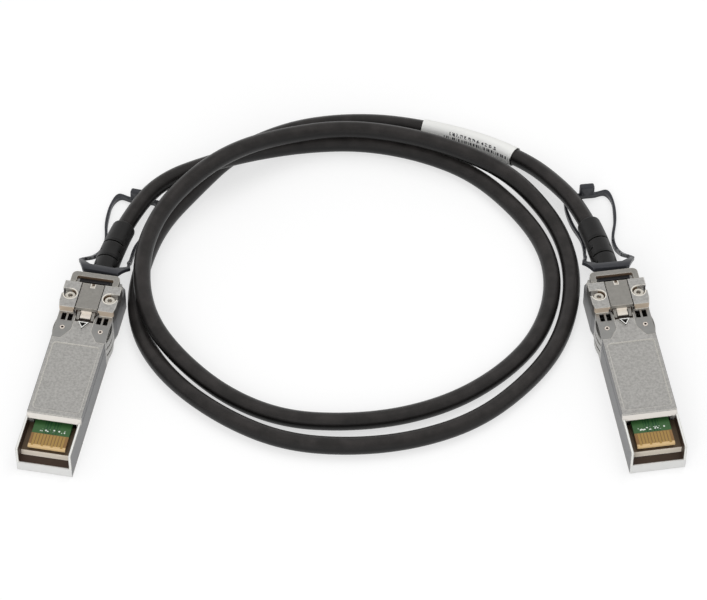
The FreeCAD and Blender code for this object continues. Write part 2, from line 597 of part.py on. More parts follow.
def release_slider():
    """One casting: the plate in its channel, the latch tongue and tines, the return leaf and the bail."""
    low = CHANNEL_FLOOR + SLIDE_CLEARANCE
    half = PLATE_WIDTH / 2
    plate = strip(half, PLATE_FRONT, PLATE_REAR, PLATE_UNDERSIDE, BLOCK_TOP)
    notch = strip(NOTCH_WIDTH / 2, PLATE_REAR - NOTCH_DEPTH, PLATE_REAR + BEYOND,
                  PLATE_UNDERSIDE + NOTCH_FLOOR, BLOCK_TOP + BEYOND)
    web_low = low + FLANGE_PLACE
    front_wall = strip(half, PLATE_FRONT, PLATE_FRONT + FRONT_WALL, low, PLATE_UNDERSIDE + LAP)
    flange = strip(half + FLANGE_WIDTH, PLATE_FRONT + LAP, PLATE_REAR, web_low, web_low + FLANGE_HEIGHT)
    web = strip(half, PLATE_FRONT, PLATE_REAR, web_low, PLATE_UNDERSIDE + LAP)
    link = strip(half, PLATE_REAR - LAP, BRIDGE_START + LAP, web_low, PLATE_UNDERSIDE + 2 * LAP)
    tongue = strip(TONGUE_WIDTH / 2, PLATE_FRONT - TONGUE_REACH, PLATE_FRONT + LAP, low, low + TONGUE_THICKNESS)
    leaf = side_form([(LEAF_START, low), (LEAF_START, low + LEAF_THICKNESS), (LEAF_END, PLATE_UNDERSIDE),
                      (LEAF_END + LEAF_ROOT, PLATE_UNDERSIDE), (LEAF_END, web_low - LAP)],
                     -LEAF_WIDTH / 2, LEAF_WIDTH / 2)
    leaf_room = strip(LEAF_WIDTH / 2 + LEAF_ROOM, LEAF_START - LEAF_ROOM, LEAF_END, low - LAP, PLATE_UNDERSIDE)
    body = plate.cut(notch).fuse([web, flange, link]).cut(leaf_room)
    return body.fuse([front_wall, tongue, leaf, bail(), tine(-1), tine(1)]).removeSplitter()


# ---- boot ---------------------------------------------------------------------------------------------------------
def boot_shift(y, bend):
    """How far the boot's axis has moved sideways at y."""
    share = max(0.0, (y - BOOT_BEND_START) / (BOOT_END - BOOT_BEND_START))
    return bend * BOOT_BEND * share * share


def boot_direction(y, bend):
    step = 0.01
    return Vector(boot_shift(y, bend) - boot_shift(y - step, bend), step, 0).normalize()


def boot_radius(y):
    share = (y - TAIL_END) / (BOOT_END - TAIL_END)
    return BOOT_BASE_RADIUS + (BOOT_MOUTH_RADIUS - BOOT_BASE_RADIUS) * share


def boot_ring(y, radius, bend):
    ring = Part.Circle(Vector(boot_shift(y, bend), y, AXIS_HEIGHT), boot_direction(y, bend), radius)
    return Part.Wire(ring.toShape())


def groove(y, bend, centre_angle, sweep):
    """A flexing groove at y: a ring sector about the boot's axis, centred on centre_angle from the top."""
    outer = boot_radius(y) + BEYOND
    sector = Part.makeCylinder(outer, GROOVE_WIDTH, Vector(), Vector(0, 0, 1), sweep)
    sector = sector.cut(Part.makeCylinder(boot_radius(y) - GROOVE_DEPTH, GROOVE_WIDTH))
    sector.rotate(Vector(), Vector(0, 0, 1), 90 + centre_angle - sweep / 2)
    sector.rotate(Vector(), Vector(1, 0, 0), 90)
    heading = boot_direction(y, bend)
    sector.rotate(Vector(), Vector(0, 0, 1), -math.degrees(math.atan2(heading.x, heading.y)))
    sector.translate(Vector(boot_shift(y, bend), y, AXIS_HEIGHT))
    return sector


def strain_relief(plug, socket_axis):
    """The moulded boot: a spigot in the tail, a bent tapering body and rows of flexing grooves."""
    bend = plug["bend"]
    straight_end = BOOT_END - BOOT_ROUND
    span = straight_end - TAIL_END
    stations = [TAIL_END + span * index / (BOOT_STATIONS - 1) for index in range(BOOT_STATIONS)]
    body = Part.makeLoft([boot_ring(y, boot_radius(y), bend) for y in stations], True, False)
    rounding = []
    for step in range(BOOT_ROUND_STEPS + 1):
        angle = math.pi / 2 * step / BOOT_ROUND_STEPS
        y = straight_end + BOOT_ROUND * math.sin(angle)
        rounding.append(boot_ring(y, boot_radius(straight_end) - BOOT_ROUND * (1 - math.cos(angle)), bend))
    body = body.fuse(Part.makeLoft(rounding, True, True))
    spigot = along(FERRULE_RADIUS, TAIL_END - BOOT_SPIGOT, TAIL_END + LAP)
    cuts = [socket_axis]
    for index in range(GROOVE_COUNT):
        y = GROOVE_FIRST + index * GROOVE_PITCH
        across = index % 2 == 1
        sweep = GROOVE_TOP_SWEEP if across else GROOVE_SIDE_SWEEP
        turn = 0 if across else 90
        cuts += [groove(y, bend, turn, sweep), groove(y, bend, turn + 180, sweep)]
    return body.fuse(spigot).cut(cuts)


# ---- pull tab ------------------------------------------------------------------------------------------------------
def smooth_edge(points):
    curve = Part.BSplineCurve()
    curve.interpolate([Vector(*p) for p in points])
    return curve.toShape()


def loop_outline(inset, front):
    """The ring and hourglass loop in plan: straight bar and corners, one smooth curve down each side."""
    corner = (TAB_RING_HALF - TAB_CORNER_SHARE * inset, TAB_RING_PLACE)
    shoulder = (TAB_SHOULDER - TAB_CORNER_SHARE * inset, front + TAB_SHOULDER_STEP)
    side = [corner]
    stretch = (TAB_END - TAB_RING_PLACE) / TAB_DRAWN
    for x, reach in TAB_OUTER:
        y = TAB_RING_PLACE + reach * stretch
        side.append((x - inset, y - (TAB_TIP_SHARE * inset if y > TAB_END - BEYOND else 0)))
    far = [(x, y, 0) for x, y in side] + [(0.0, TAB_END - inset, 0)] + [(-x, y, 0) for x, y in reversed(side)]
    bar = Part.makePolygon([Vector(-corner[0], corner[1], 0), Vector(-shoulder[0], shoulder[1], 0),
                            Vector(shoulder[0], shoulder[1], 0), Vector(corner[0], corner[1], 0)])
    return Part.Wire([smooth_edge(far)] + list(bar.Edges))


def descent_band():
    """The side view that the loop is cut from: level bar, slope past the boot, flat loop on the table."""
    rest = TAB_REST + TAB_THICKNESS / 2
    level, end = (TAB_LEVEL_START, rest), (TAB_END + TAB_LEVEL_MARGIN, rest)
    first = (TAB_BAR_FRONT - BEYOND, TAB_BAR_HEIGHT)
    drop = TAB_BAR_HEIGHT - rest
    middle = [first] + [(y, rest + share * drop) for y, share in TAB_DESCENT] + [level]
    half = TAB_THICKNESS / 2
    x0 = -TAB_RING_HALF - BEYOND
    upper = smooth_edge([(x0, y, z + half) for y, z in middle])
    lower = smooth_edge([(x0, y, z - half) for y, z in middle])
    rear = Part.makePolygon([Vector(x0, level[0], rest + half), Vector(x0, end[0], rest + half),
                             Vector(x0, end[0], rest - half), Vector(x0, level[0], rest - half)])
    front = Part.makePolygon([Vector(x0, first[0], first[1] - half), Vector(x0, first[0], first[1] + half)])
    face = Part.Face(Part.Wire(Part.__sortEdges__([upper, lower] + list(rear.Edges) + list(front.Edges))))
    return face.extrude(Vector(-2 * x0, 0, 0))


def pull_tab(plug):
    """The plastic pull: hook in the bail, bar over the boot, arms down to the table and a finger loop."""
    outer = Part.Face(loop_outline(0.0, TAB_BAR_FRONT)).extrude(Vector(0, 0, BLOCK_TOP))
    inner = Part.Face(loop_outline(TAB_STRAND, TAB_BAR_REAR)).extrude(Vector(0, 0, BLOCK_TOP))
    loop = outer.cut(inner).common(descent_band())
    top = PLATE_UNDERSIDE - TAB_HOOK_CLEARANCE
    under = top - TAB_HOOK_THICKNESS
    start, behind = BRIDGE_START + BRIDGE_LENGTH + TAB_HOOK_CLEARANCE, BAIL_REAR + TAB_HOOK_CLEARANCE
    root = TAB_BAR_FRONT + TAB_HOOK_ROOT
    hook = side_form([(start, under), (root, under), (root, top + TAB_HOOK_STEP), (behind, top + TAB_HOOK_STEP),
                      (behind, top), (start + TAB_HOOK_LIP, top), (start + TAB_HOOK_LIP, under + TAB_HOOK_RISE),
                      (start, under + TAB_HOOK_RISE)], -TAB_HOOK_WIDTH / 2, TAB_HOOK_WIDTH / 2)
    grip = strip(GRIP_WIDTH / 2, TAB_END - TAB_STRAND, TAB_END - TAB_STRAND + GRIP_DEPTH, TAB_REST, GRIP_HEIGHT)
    grip = grip.makeFillet(GRIP_ROUND, [e for e in grip.Edges if e.CenterOfMass.z > GRIP_HEIGHT / 4])
    loop = loop.fuse(grip)
    loop.rotate(Vector(0, TAB_PIVOT, 0), Vector(0, 0, 1), plug["lean"])
    return loop.fuse(hook).removeSplitter()


# ---- cord and label --------------------------------------------------------------------------------------------------
def route_edges(points, share):
    """Straight runs joined by tangent arcs, as a list of edges, with each arc's radius."""
    edges, radii = [], []
    start = points[0]
    for before, point, after in zip(points, points[1:], points[2:]):
        back, ahead = before - point, after - point
        reach = share * min(back.Length, ahead.Length)
        back, ahead = Vector(back).normalize(), Vector(ahead).normalize()
        half_turn = (math.pi - back.getAngle(ahead)) / 2
        radius = reach / math.tan(half_turn)
        inward = (back + ahead).normalize()
        centre = point + inward * (radius / math.cos(half_turn))
        first, last = point + back * reach, point + ahead * reach
        edges.append(Part.LineSegment(start, first).toShape())
        edges.append(Part.Arc(first, centre - inward * radius, last).toShape())
        radii.append(radius)
        start = last
    edges.append(Part.LineSegment(start, points[-1]).toShape())
    return edges, radii


def swept(edges, radius):
    """A round section carried along the edges."""
    path = Part.Wire(edges)
    start = path.OrderedVertexes[0].Point
    heading = path.OrderedEdges[0].tangentAt(path.OrderedEdges[0].FirstParameter)
    section = Part.Wire(Part.Circle(start, heading, radius).toShape())
    return path.makePipeShell([section], True, True)


def tube(points, radius, share=ARC_SHARE):
    return swept(route_edges(points, share)[0], radius)


def cable():
    points = [Vector(*p) for p in CABLE_POINTS]
    edges, radii = route_edges(points, ARC_SHARE)
    solid = swept(edges, CABLE_DIAMETER / 2)
    length = sum(edge.Length for edge in edges)
    expected = math.pi * CABLE_DIAMETER ** 2 / 4 * length
    print("cord arc radii:", " ".join(f"{radius:.0f}" for radius in radii))
    print(f"cord length {length:.1f}, volume {solid.Volume:.1f}, section times length {expected:.1f}")
    return solid


def cable_label():
    """The wrap-round paper label, on the runs either side of one point of the route."""
    points = [Vector(*p) for p in CABLE_POINTS]
    edges = route_edges(points, ARC_SHARE)[0]
    place = Vector(*LABEL_PLACE, CABLE_DIAMETER / 2)
    nearest = min(range(1, len(points) - 1), key=lambda index: (points[index] - place).Length)
    middle = 2 * nearest - 1
    covered = edges[middle - 1:middle + 2]
    inner = CABLE_DIAMETER / 2 + LABEL_GAP
    return swept(covered, inner + LABEL_THICKNESS).cut(swept(covered, inner))


def cord_socket(side):
    """The blind bore in a boot, along the cord's own end run."""
    ends = CABLE_POINTS[:2] if side == "left" else CABLE_POINTS[:-3:-1]
    inside, outside = Vector(*ends[0]), Vector(*ends[1])
    heading = (outside - inside).normalize()
    floor = inside - heading * BORE_CLEARANCE
    return Part.makeCylinder(CABLE_DIAMETER / 2 + BORE_CLEARANCE, SOCKET_DEPTH + 2 * BEYOND, floor, heading)


# ---- the whole ----------------------------------------------------------------------------------------------------------
def plug_pieces(side):
    """Every piece of one plug, in the plug's own frame."""
    plug = PLUGS[side]
    socket = cord_socket(side)
    place = plug_place(plug)
    socket.transformShape(place.inverse().toMatrix())
    return {
        "top_shell": top_shell(),
        "bottom_shell": bottom_shell(),
        "paddle_card": paddle_card(),
        "contact_pads": contact_pads(),
        "memory_chip": memory_chip(),
        "wire_pairs": wire_pairs(),
        "crimp_ferrule": crimp_ferrule(),
        "spring_collar": spring_collar(),
        "housing_screws": housing_screws(),
        "release_slider": release_slider(),
        "strain_relief": strain_relief(plug, socket),
        "pull_tab": pull_tab(plug),
    }


def plug_place(plug):
    x, y = plug["nose"]
    return Placement(Vector(x, y, 0), Rotation(Vector(0, 0, 1), plug["yaw"]))


def main():
    os.makedirs("parts", exist_ok=True)
    nodes = {"cable": cable(), "cable_label": cable_label()}
    for side, plug in PLUGS.items():
        for name, shape in plug_pieces(side).items():
            shape.transformShape(plug_place(plug).toMatrix())
            nodes[f"{side}_{name}"] = shape
    for name, shape in nodes.items():
        state = "" if shape.isValid() else "  NOT VALID"
        print(f"{name:24s} solids {len(shape.Solids)}  volume {shape.Volume:9.2f}{state}")
        shape.exportStep(f"parts/{name}.step")


main()
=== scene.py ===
from math import pi, radians

import bpy
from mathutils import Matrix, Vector


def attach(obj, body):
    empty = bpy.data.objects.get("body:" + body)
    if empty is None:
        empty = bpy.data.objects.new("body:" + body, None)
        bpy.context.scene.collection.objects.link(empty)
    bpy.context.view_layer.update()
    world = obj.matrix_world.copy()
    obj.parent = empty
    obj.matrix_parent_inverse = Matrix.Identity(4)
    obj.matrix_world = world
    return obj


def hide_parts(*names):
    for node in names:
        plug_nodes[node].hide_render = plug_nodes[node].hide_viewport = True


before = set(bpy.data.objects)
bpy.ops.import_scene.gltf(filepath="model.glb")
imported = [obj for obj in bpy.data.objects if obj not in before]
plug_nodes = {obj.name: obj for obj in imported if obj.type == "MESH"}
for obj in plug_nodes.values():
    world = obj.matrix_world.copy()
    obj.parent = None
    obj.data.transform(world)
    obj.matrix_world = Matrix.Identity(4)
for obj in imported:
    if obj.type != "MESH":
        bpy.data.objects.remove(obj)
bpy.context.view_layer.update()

scene = bpy.context.scene
MM = 0.001


# ---- Camera, table and light -------------------------------------------------------------------
# The coiled cable lies flat on a white table under plain, soft light, seen from the front and
# well above. The table shows white, and keeps the soft contact shadow of what lies on it.
CAMERA_PLACE = (0.0005, -0.5765, 0.65406)
CAMERA_PITCH = 41.89
CAMERA_LENS = 178.2
TABLE_SIZE = 6.0
TABLE_DROP = 0.00004
TABLE_GREY = 0.45
TABLE_GLOW = 0.60
SKY_LIGHT = 0.54
OVERHEAD = 0.46

camera_data = bpy.data.cameras.new("camera")
camera_data.sensor_width = 36
camera_data.lens = CAMERA_LENS
camera = bpy.data.objects.new("camera", camera_data)
camera.location = CAMERA_PLACE
camera.rotation_euler = (radians(CAMERA_PITCH), 0, 0)
scene.collection.objects.link(camera)
scene.camera = camera
scene.view_settings.view_transform = "Standard"


def linear(red, green, blue):
    """A colour given in 0-255 display values, as the shader's linear RGBA."""
    channels = []
    for value in (red, green, blue):
        share = value / 255
        channels.append(share / 12.92 if share <= 0.04045 else ((share + 0.055) / 1.055) ** 2.4)
    return (*channels, 1.0)


def new_material(name, colour, roughness, metallic=0.0):
    """A material with one Principled BSDF; returns it with its node tree and that node."""
    material = bpy.data.materials.new(name)
    material.use_nodes = True
    tree = material.node_tree
    finish = tree.nodes["Principled BSDF"]
    finish.inputs["Base Color"].default_value = colour
    finish.inputs["Roughness"].default_value = roughness
    finish.inputs["Metallic"].default_value = metallic
    return material, tree, finish


def calculate(tree, operation, *values):
    """One Math node on numbers or sockets."""
    node = tree.nodes.new("ShaderNodeMath")
    node.operation = operation
    for index, value in enumerate(values):
        if isinstance(value, (int, float)):
            node.inputs[index].default_value = value
        else:
            tree.links.new(value, node.inputs[index])
    return node.outputs[0]


def steps(tree, value, low, high, first=0.0, last=1.0):
    """first below low, last above high, and straight between them."""
    ramp = tree.nodes.new("ShaderNodeMapRange")
    for name, number in (("From Min", low), ("From Max", high), ("To Min", first), ("To Max", last)):
        ramp.inputs[name].default_value = number
    tree.links.new(value, ramp.inputs["Value"])
    return ramp.outputs["Result"]


def background_rays(tree):
    """1 on rays that should see the white surroundings, 0 on those that light the object."""
    paths = tree.nodes.new("ShaderNodeLightPath")
    seen = calculate(tree, "MAXIMUM", paths.outputs["Is Camera Ray"], paths.outputs["Is Transmission Ray"])
    return calculate(tree, "MAXIMUM", seen, paths.outputs["Is Glossy Ray"]), paths


bpy.ops.object.select_all(action="DESELECT")
bpy.ops.mesh.primitive_plane_add(size=TABLE_SIZE, location=(0, 0, -TABLE_DROP))
table = bpy.context.object
table.name = "table"
table_white, tree, finish = new_material("table_white", (TABLE_GREY,) * 3 + (1.0,), 0.9)
finish.inputs["Emission Color"].default_value = (1, 1, 1, 1)
tree.links.new(calculate(tree, "MULTIPLY", background_rays(tree)[0], TABLE_GLOW),
               finish.inputs["Emission Strength"])
table.data.materials.append(table_white)

world = bpy.data.worlds.new("surroundings")
scene.world = world
world.use_nodes = True
sky = world.node_tree.nodes["Background"]
sky.inputs["Color"].default_value = (1, 1, 1, 1)
tree = world.node_tree
seen, paths = background_rays(tree)
height = tree.nodes.new("ShaderNodeSeparateXYZ")
tree.links.new(tree.nodes.new("ShaderNodeTexCoord").outputs["Generated"], height.inputs[0])
overhead = steps(tree, height.outputs["Z"], 0.1, 0.6, 1.0, OVERHEAD)
not_glossy = calculate(tree, "SUBTRACT", 1.0, paths.outputs["Is Glossy Ray"])
background = calculate(tree, "MAXIMUM", overhead, not_glossy)
lit = calculate(tree, "MULTIPLY", calculate(tree, "SUBTRACT", 1.0, seen), SKY_LIGHT)
tree.links.new(calculate(tree, "MULTIPLY_ADD", seen, background, lit), sky.inputs["Strength"])

LAMPS = [("front_lamp", (-0.2, -0.9, 0.5), 0.6, 4.2), ("top_lamp", (0.15, 0.35, 0.9), 0.7, 2.6)]
for lamp_name, lamp_place, lamp_size, lamp_power in LAMPS:
    lamp_data = bpy.data.lights.new(lamp_name, "AREA")
    lamp_data.size = lamp_size
    lamp_data.energy = lamp_power
    lamp = bpy.data.objects.new(lamp_name, lamp_data)
    lamp.location = lamp_place
    lamp.visible_glossy = False
    lamp.rotation_euler = Vector(lamp_place).to_track_quat("Z", "Y").to_euler()
    scene.collection.objects.link(lamp)


# ---- Cord --------------------------------------------------------------------------------------
# One twinax cord of 4.4 mm with a black jacket, extruded over the shielded pairs. Its upper side shows a
# dull charcoal, and its sides and underside are painted near black as painted shade. It leaves one boot,
# lies in two and a half loose turns on the table and goes back into the other boot.
CORD_DIAMETER = 4.4 * MM
CORD_CHARCOAL = linear(42, 40, 39)
CORD_WORN = linear(66, 62, 61)
# Painted shade: near black on the jacket's sides and underside, blending to the charcoal between the two
# upward facings below.
CORD_UNDERSIDE_SHADE = linear(8, 7, 7)
UNDERSIDE_SHADE_FACING = (0.25, 0.95)
CORD_ROUTE = [
    (-0.0598, 0.0256, 0.00425), (-0.0554, 0.0374, 0.00440), (-0.0483, 0.0453, 0.00680),
    (-0.0370, 0.0506, 0.00740), (-0.0260, 0.0573, 0.00460), (-0.0120, 0.0626, 0.00230),
    (0.0030, 0.0633, 0.00225), (0.0180, 0.0596, 0.00225), (0.0315, 0.0523, 0.00225),
    (0.0425, 0.0394, 0.00225), (0.0493, 0.0263, 0.00225), (0.0510, 0.0122, 0.00225),
    (0.0471, -0.0028, 0.00225), (0.0390, -0.0143, 0.00225), (0.0270, -0.0241, 0.00225),
    (0.0130, -0.0299, 0.00225), (-0.0020, -0.0319, 0.00225), (-0.0170, -0.0306, 0.00225),
    (-0.0305, -0.0236, 0.00230), (-0.0419, -0.0135, 0.00400), (-0.0499, -0.0029, 0.00650),
    (-0.0528, 0.0107, 0.00690), (-0.0519, 0.0242, 0.00710), (-0.0469, 0.0359, 0.00880),
    (-0.0378, 0.0457, 0.01090), (-0.0285, 0.0533, 0.01070), (-0.0170, 0.0607, 0.00760),
    (-0.0025, 0.0643, 0.00670), (0.0130, 0.0621, 0.00670), (0.0280, 0.0561, 0.00690),
    (0.0410, 0.0487, 0.00560), (0.0510, 0.0367, 0.00260), (0.0552, 0.0232, 0.00225),
    (0.0554, 0.0092, 0.00225), (0.0515, -0.0063, 0.00225), (0.0435, -0.0189, 0.00225),
    (0.0310, -0.0309, 0.00225), (0.0155, -0.0375, 0.00225), (-0.0010, -0.0396, 0.00225),
    (-0.0170, -0.0377, 0.00225), (-0.0315, -0.0299, 0.00225), (-0.0441, -0.0185, 0.00225),
    (-0.0519, -0.0055, 0.00225), (-0.0543, 0.0077, 0.00225), (-0.0526, 0.0212, 0.00225),
    (-0.0485, 0.0342, 0.00225), (-0.0405, 0.0462, 0.00225), (-0.0310, 0.0592, 0.00225),
    (-0.0170, 0.0679, 0.00225), (-0.0025, 0.0710, 0.00225), (0.0130, 0.0700, 0.00250),
    (0.0320, 0.0638, 0.00275), (0.0451, 0.0560, 0.00285), (0.0521, 0.0472, 0.00430),
    (0.0581, 0.0383, 0.00440), (0.0621, 0.0265, 0.00425),
]

cord_curve = bpy.data.curves.new("cord", "CURVE")
cord_curve.dimensions = "3D"
cord_curve.bevel_depth = 1.0
cord_curve.use_radius = False
cord_curve.bevel_resolution = 6
cord_curve.resolution_u = 10
cord_curve.use_fill_caps = True
route = cord_curve.splines.new("NURBS")
route.points.add(len(CORD_ROUTE) - 1)
for point, place in zip(route.points, CORD_ROUTE):
    point.co = (*place, 1.0)
    point.radius = CORD_DIAMETER / 2
route.order_u = 3
route.use_endpoint_u = True
cord = bpy.data.objects.new("cord", cord_curve)
scene.collection.objects.link(cord)


def shader_group(name, inputs, outputs):
    """An empty shader group with the named sockets; returns it with its two end nodes."""
    group = bpy.data.node_groups.new(name, "ShaderNodeTree")
    for socket_name, kind, value in inputs:
        socket = group.interface.new_socket(socket_name, in_out="INPUT", socket_type=kind)
        if value is not None:
            socket.default_value = value
    for socket_name, kind in outputs:
        group.interface.new_socket(socket_name, in_out="OUTPUT", socket_type=kind)
    return group, group.nodes.new("NodeGroupInput"), group.nodes.new("NodeGroupOutput")


COLOUR, NUMBER, PLACE = "NodeSocketColor", "NodeSocketFloat", "NodeSocketVector"


def add_mottling():
    """Group: soft patches and fine specks of a second colour, with a matching height."""
    group, start, end = shader_group(
        "mottling",
        [("Vector", PLACE, None), ("Colour", COLOUR, None), ("Patch Colour", COLOUR, None),
         ("Patch Scale", NUMBER, 400.0), ("Speck Scale", NUMBER, 6000.0), ("Amount", NUMBER, 0.5)],
        [("Colour", COLOUR), ("Height", NUMBER)])
    nodes, links = group.nodes, group.links
    patches, specks = nodes.new("ShaderNodeTexNoise"), nodes.new("ShaderNodeTexNoise")
    patches.inputs["Detail"].default_value = 4.0
    specks.inputs["Detail"].default_value = 2.0
    for noise, scale in ((patches, "Patch Scale"), (specks, "Speck Scale")):
        links.new(start.outputs["Vector"], noise.inputs["Vector"])
        links.new(start.outputs[scale], noise.inputs["Scale"])
    together = nodes.new("ShaderNodeMath")
    together.operation = "MULTIPLY_ADD"
    together.inputs[1].default_value = 0.5
    links.new(specks.outputs["Fac"], together.inputs[0])
    links.new(patches.outputs["Fac"], together.inputs[2])
    spread = nodes.new("ShaderNodeMapRange")
    spread.inputs["From Min"].default_value = 0.6
    spread.inputs["From Max"].default_value = 0.95
    links.new(together.outputs[0], spread.inputs["Value"])
    amount = nodes.new("ShaderNodeMath")
    amount.operation = "MULTIPLY"
    links.new(spread.outputs["Result"], amount.inputs[0])
    links.new(start.outputs["Amount"], amount.inputs[1])
    mix = nodes.new("ShaderNodeMix")
    mix.data_type = "RGBA"
    links.new(amount.outputs[0], mix.inputs["Factor"])
    links.new(start.outputs["Colour"], mix.inputs["A"])
    links.new(start.outputs["Patch Colour"], mix.inputs["B"])
    links.new(mix.outputs["Result"], end.inputs["Colour"])
    links.new(specks.outputs["Fac"], end.inputs["Height"])
    return group


mottling = add_mottling()


def object_coordinates(tree):
    return tree.nodes.new("ShaderNodeTexCoord").outputs["Object"]


def mottled_material(name, colour, patch_colour, roughness, metallic=0.0, patches=400.0, specks=6000.0,
                     amount=0.5, relief=0.0):
    """A material whose colour varies softly over the surface, with a fine relief if wanted."""
    material, tree, finish = new_material(name, colour, roughness, metallic)
    pattern = tree.nodes.new("ShaderNodeGroup")
    pattern.node_tree = mottling
    pattern.inputs["Colour"].default_value = colour
    pattern.inputs["Patch Colour"].default_value = patch_colour
    pattern.inputs["Patch Scale"].default_value = patches
    pattern.inputs["Speck Scale"].default_value = specks
    pattern.inputs["Amount"].default_value = amount
    tree.links.new(object_coordinates(tree), pattern.inputs["Vector"])
    tree.links.new(pattern.outputs["Colour"], finish.inputs["Base Color"])
    if relief:
        bump = tree.nodes.new("ShaderNodeBump")
        bump.inputs["Strength"].default_value = relief
        bump.inputs["Distance"].default_value = 0.00005
        tree.links.new(pattern.outputs["Height"], bump.inputs["Height"])
        tree.links.new(bump.outputs["Normal"], finish.inputs["Normal"])
    return material, tree, finish


def blend(tree, factor, a, b):
    """Mixes two colours, each a value or a socket."""
    mix = tree.nodes.new("ShaderNodeMix")
    mix.data_type = "RGBA"
    tree.links.new(factor, mix.inputs["Factor"])
    for name, colour in (("A", a), ("B", b)):
        if isinstance(colour, tuple):
            mix.inputs[name].default_value = colour
        else:
            tree.links.new(colour, mix.inputs[name])
    return mix.outputs["Result"]


cord_jacket, tree, finish = mottled_material("cord_jacket", CORD_CHARCOAL, CORD_WORN, 0.36,
                                             patches=260.0, specks=5000.0, amount=0.55, relief=0.25)
finish.inputs["Specular IOR Level"].default_value = 0.3
# Painted shade: darker where the jacket faces sideways and down, charcoal only where it faces up.
facing = tree.nodes.new("ShaderNodeSeparateXYZ")
tree.links.new(tree.nodes.new("ShaderNodeTexCoord").outputs["Normal"], facing.inputs[0])
top_lit = steps(tree, facing.outputs["Z"], *UNDERSIDE_SHADE_FACING)
charcoal = finish.inputs["Base Color"].links[0].from_socket
tree.links.new(blend(tree, top_lit, CORD_UNDERSIDE_SHADE, charcoal), finish.inputs["Base Color"])
cord_curve.materials.append(cord_jacket)
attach(cord, "cable_assembly")
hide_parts("cable")


# ---- Cord label --------------------------------------------------------------------------------
# A white paper label wrapped loosely once round the cord, on the outer turn. It is printed in
# black with a row of bars and, above it, a row of plain marks.
LABEL_DIAMETER = 5.1 * MM
LABEL_LENGTH = 26.0 * MM
LABEL_START = 0.7407
LABEL_PAPER = 0.15 * MM
LABEL_WHITE = linear(252, 252, 249)
LABEL_INK = linear(70, 70, 74)
BAR_HEIGHT = 3.75 * MM
BAR_ROW = 0.35 * MM
BAR_SPAN = (0.0325, 0.0085)
BAR_RATE = 2600.0
MARK_HEIGHT = 4.65 * MM
MARK_ROW = 0.27 * MM
MARK_SPAN = (0.0315, 0.0060)
MARK_PITCH = 1.05 * MM
MARK_RATE = 2400.0
LABEL_CUTS = 20


bpy.ops.object.select_all(action="DESELECT")
bpy.ops.mesh.primitive_cylinder_add(vertices=40, radius=LABEL_DIAMETER / 2, depth=LABEL_LENGTH,
                                    end_fill_type="NOTHING", rotation=(0, pi / 2, 0),
                                    location=(LABEL_START + LABEL_LENGTH / 2, 0, 0))
label = bpy.context.object
label.name = "cord_label"
bpy.ops.object.transform_apply(location=True, rotation=True, scale=True)
bpy.ops.object.mode_set(mode="EDIT")
bpy.ops.mesh.select_all(action="DESELECT")
bpy.ops.object.mode_set(mode="OBJECT")
for edge in label.data.edges:
    a, b = (label.data.vertices[i].co for i in edge.vertices)
    edge.select = abs(a.x - b.x) > LABEL_LENGTH / 2
bpy.ops.object.mode_set(mode="EDIT")
bpy.ops.mesh.select_mode(type="EDGE")
bpy.ops.mesh.subdivide(number_cuts=LABEL_CUTS)
bpy.ops.object.mode_set(mode="OBJECT")
follow = label.modifiers.new("follow", "CURVE")
follow.object = cord
follow.deform_axis = "POS_X"
thick = label.modifiers.new("thick", "SOLIDIFY")
thick.thickness = LABEL_PAPER
thick.offset = -1
for modifier in ("follow", "thick"):
    bpy.ops.object.modifier_apply(modifier=modifier)
bpy.ops.object.shade_smooth_by_angle(angle=radians(40))

label_paper, tree, finish = new_material("label_paper", LABEL_WHITE, 0.65)
place, around = tree.nodes.new("ShaderNodeSeparateXYZ"), tree.nodes.new("ShaderNodeSeparateXYZ")
surface = tree.nodes.new("ShaderNodeTexCoord")
tree.links.new(surface.outputs["Object"], place.inputs[0])
tree.links.new(surface.outputs["Normal"], around.inputs[0])
front = calculate(tree, "LESS_THAN", around.outputs["Y"], 0.0)
bars = tree.nodes.new("ShaderNodeTexNoise")
bars.noise_dimensions = "1D"
bars.inputs["Scale"].default_value = BAR_RATE
bars.inputs["Detail"].default_value = 0.0
tree.links.new(place.outputs["X"], bars.inputs["W"])
marks = tree.nodes.new("ShaderNodeTexNoise")
marks.inputs["Scale"].default_value = MARK_RATE
marks.inputs["Detail"].default_value = 0.0
tree.links.new(surface.outputs["Object"], marks.inputs["Vector"])
spacing = calculate(tree, "SINE", calculate(tree, "MULTIPLY", place.outputs["X"], 2 * pi / MARK_PITCH))


def printed_row(ink, height, half_height, span):
    """Where a printed row shows: the ink, within the row's height and its stretch of the label."""
    row = calculate(tree, "COMPARE", place.outputs["Z"], height, half_height)
    stretch = calculate(tree, "COMPARE", place.outputs["X"], *span)
    return calculate(tree, "MULTIPLY", ink, calculate(tree, "MULTIPLY", row, stretch))


bar_ink = calculate(tree, "GREATER_THAN", bars.outputs["Fac"], 0.5)
blocks = calculate(tree, "GREATER_THAN", marks.outputs["Fac"], 0.45)
mark_ink = calculate(tree, "MULTIPLY", blocks, calculate(tree, "GREATER_THAN", spacing, -0.5))
rows = calculate(tree, "MAXIMUM", printed_row(bar_ink, BAR_HEIGHT, BAR_ROW, BAR_SPAN),
                 printed_row(mark_ink, MARK_HEIGHT, MARK_ROW, MARK_SPAN))
print_mask = calculate(tree, "MULTIPLY", front, rows)
tree.links.new(blend(tree, print_mask, LABEL_WHITE, LABEL_INK), finish.inputs["Base Color"])
label.data.materials.append(label_paper)
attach(label, "cable_assembly")
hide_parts("cable_label")
